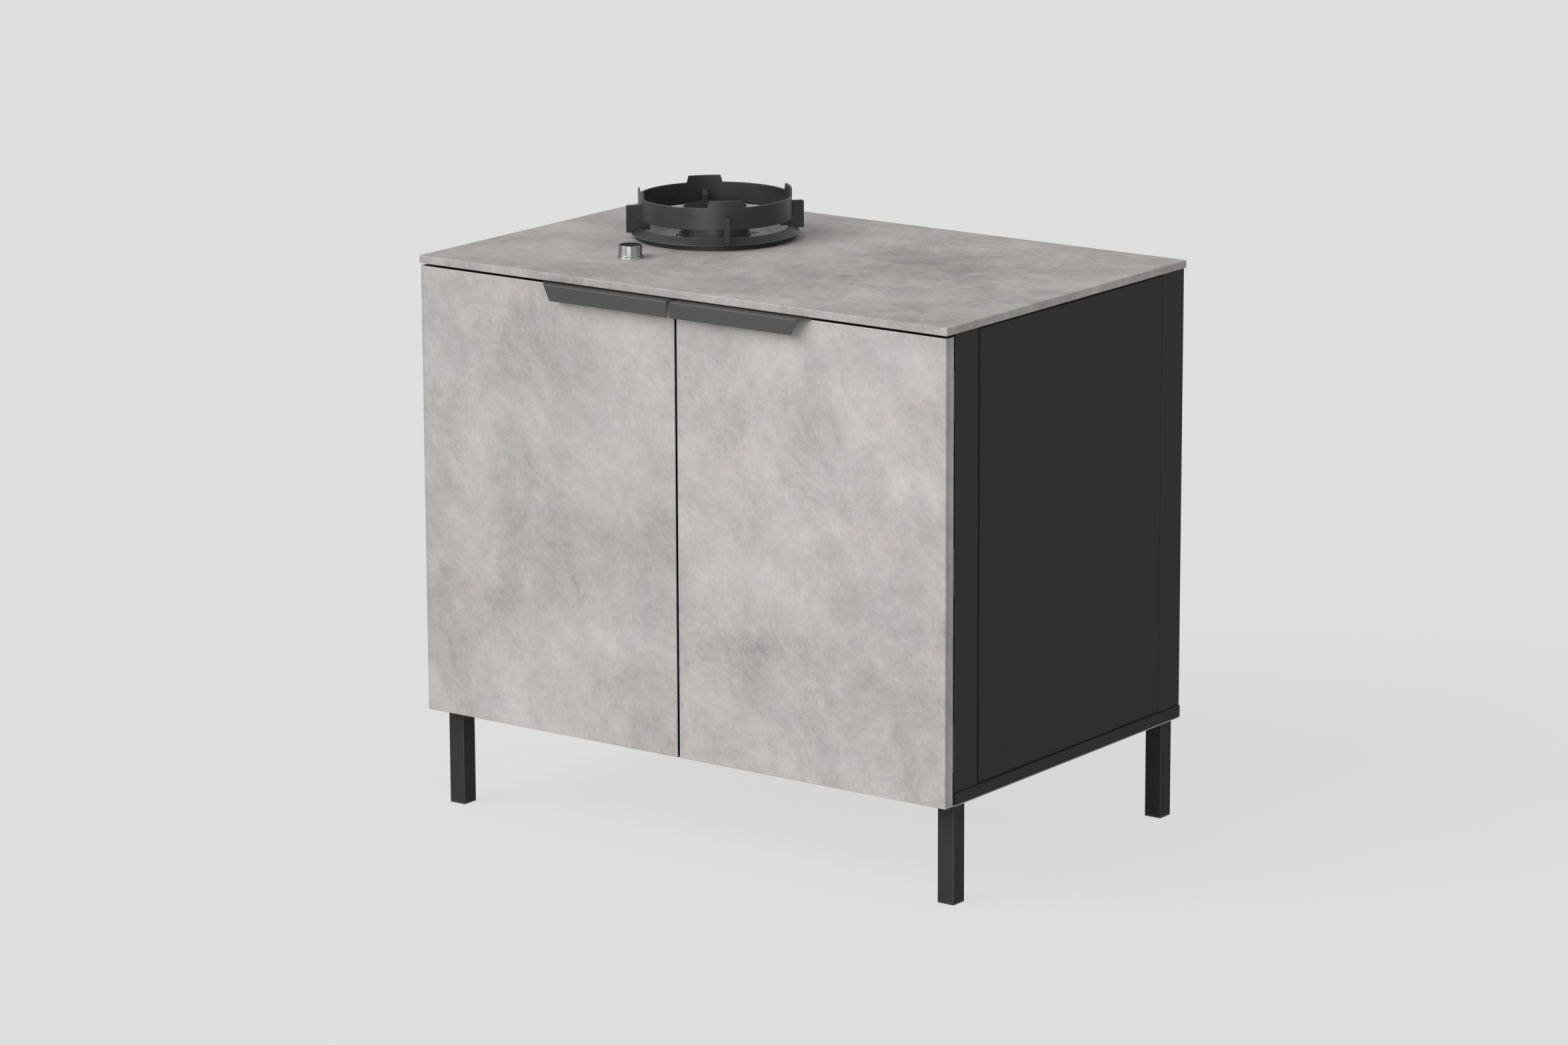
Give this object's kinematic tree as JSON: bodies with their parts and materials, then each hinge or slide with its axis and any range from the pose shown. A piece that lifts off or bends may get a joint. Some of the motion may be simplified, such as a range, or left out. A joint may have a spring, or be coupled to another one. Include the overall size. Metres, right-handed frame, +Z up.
{
  "type": "kitchen island unit",
  "caption": "Free-standing steel base unit on legs with two slab doors, a slab worktop, a gas burner with pan support and a control knob.",
  "frame": {"origin": "on the floor, under the centre of the unit's overall box (worktop with the handles' reach)", "axes": "+X along the width to the right of someone facing the doors, +Y from the doors to the back, +Z up"},
  "size_m": [1, 0.67, 0.9695],
  "materials": {
    "stone": "matt concrete-look sintered slab",
    "black_steel": "fine matt powder coat",
    "grey_steel": "satin powder coat",
    "plain_steel": "galvanised sheet",
    "stainless": "brushed",
    "zinc_hardware": "bright zinc",
    "cast_black": "matt black enamel",
    "burner_alloy": "cast, lightly heat tinted",
    "brass": "turned",
    "ceramic": "white glazed",
    "black_plastic": "matt"
  },
  "bodies": {
    "cabinet": {"worktop": "stone", "post_front_left": "black_steel", "post_front_right": "black_steel", "post_rear_left": "black_steel", "post_rear_right": "black_steel", "top_rail_front": "black_steel", "top_rail_rear": "black_steel", "top_rail_left": "black_steel", "top_rail_right": "black_steel", "base_rail_front": "black_steel", "base_rail_rear": "black_steel", "base_rail_left": "black_steel", "base_rail_right": "black_steel", "bottom_panel": "plain_steel", "side_panel_left": "black_steel", "side_panel_right": "black_steel", "back_panel": "black_steel", "leg_front_left": "black_steel", "leg_front_right": "black_steel", "leg_rear_left": "black_steel", "leg_rear_right": "black_steel", "foot_caps": "black_plastic", "leg_bolts": "zinc_hardware", "panel_screws": "zinc_hardware", "door_catches": "black_plastic", "hinge_frame_leaves": "black_steel", "hinge_frame_screws": "zinc_hardware", "hinge_pins": "zinc_hardware", "base_ring": "cast_black", "burner_dish": "stainless", "burner_plate": "stainless", "burner_body": "burner_alloy", "burner_clamp_ring": "zinc_hardware", "burner_screws": "zinc_hardware", "spark_electrode": "ceramic", "thermocouple": "stainless", "injector_holder": "brass", "gas_pipe": "stainless", "gas_tap": "brass", "tap_nut": "brass", "knob_bezel": "stainless"},
    "left_door": {"left_door_slab": "stone", "left_door_back": "grey_steel", "left_handle": "grey_steel", "left_door_screws": "zinc_hardware", "left_hinge_door_leaves": "black_steel", "left_strike_plate": "zinc_hardware"},
    "right_door": {"right_door_slab": "stone", "right_door_back": "grey_steel", "right_handle": "grey_steel", "right_door_screws": "zinc_hardware", "right_hinge_door_leaves": "black_steel", "right_strike_plate": "zinc_hardware"},
    "flame_ring": {"flame_ring": "burner_alloy"},
    "burner_cap": {"burner_cap": "cast_black"},
    "pan_support": {"pan_support": "cast_black"},
    "tap_plunger": {"tap_plunger": "brass"},
    "knob": {"valve_stem": "stainless", "knob": "stainless", "knob_cap": "black_plastic"}
  },
  "joints": [
    {"name": "left_door_hinge", "type": "hinge", "parent": "cabinet", "child": "left_door", "pos_m": [-0.4955, -0.294, 0.518], "axis": [0, 0, -1], "range_deg": [0, 100]},
    {"name": "right_door_hinge", "type": "hinge", "parent": "cabinet", "child": "right_door", "pos_m": [0.4955, -0.294, 0.518], "axis": [0, 0, 1], "range_deg": [0, 100]},
    {"name": "pan_support_lift", "type": "slide", "parent": "cabinet", "child": "pan_support", "axis": [0, 0, 1], "range_m": [0, 0.12]},
    {"name": "flame_ring_lift", "type": "slide", "parent": "cabinet", "child": "flame_ring", "axis": [0, 0, 1], "range_m": [0, 0.05]},
    {"name": "burner_cap_lift", "type": "slide", "parent": "flame_ring", "child": "burner_cap", "axis": [0, 0, 1], "range_m": [0, 0.05]},
    {"name": "knob_press", "type": "slide", "parent": "cabinet", "child": "tap_plunger", "axis": [0, 0, -1], "range_m": [0, 0.003], "stiffness_N_per_m": 1500, "springref_m": -0.003},
    {"name": "knob_turn", "type": "hinge", "parent": "tap_plunger", "child": "knob", "pos_m": [-0.219, -0.143, 0.892], "axis": [0, 0, 1], "range_deg": [0, 210]}
  ]
}
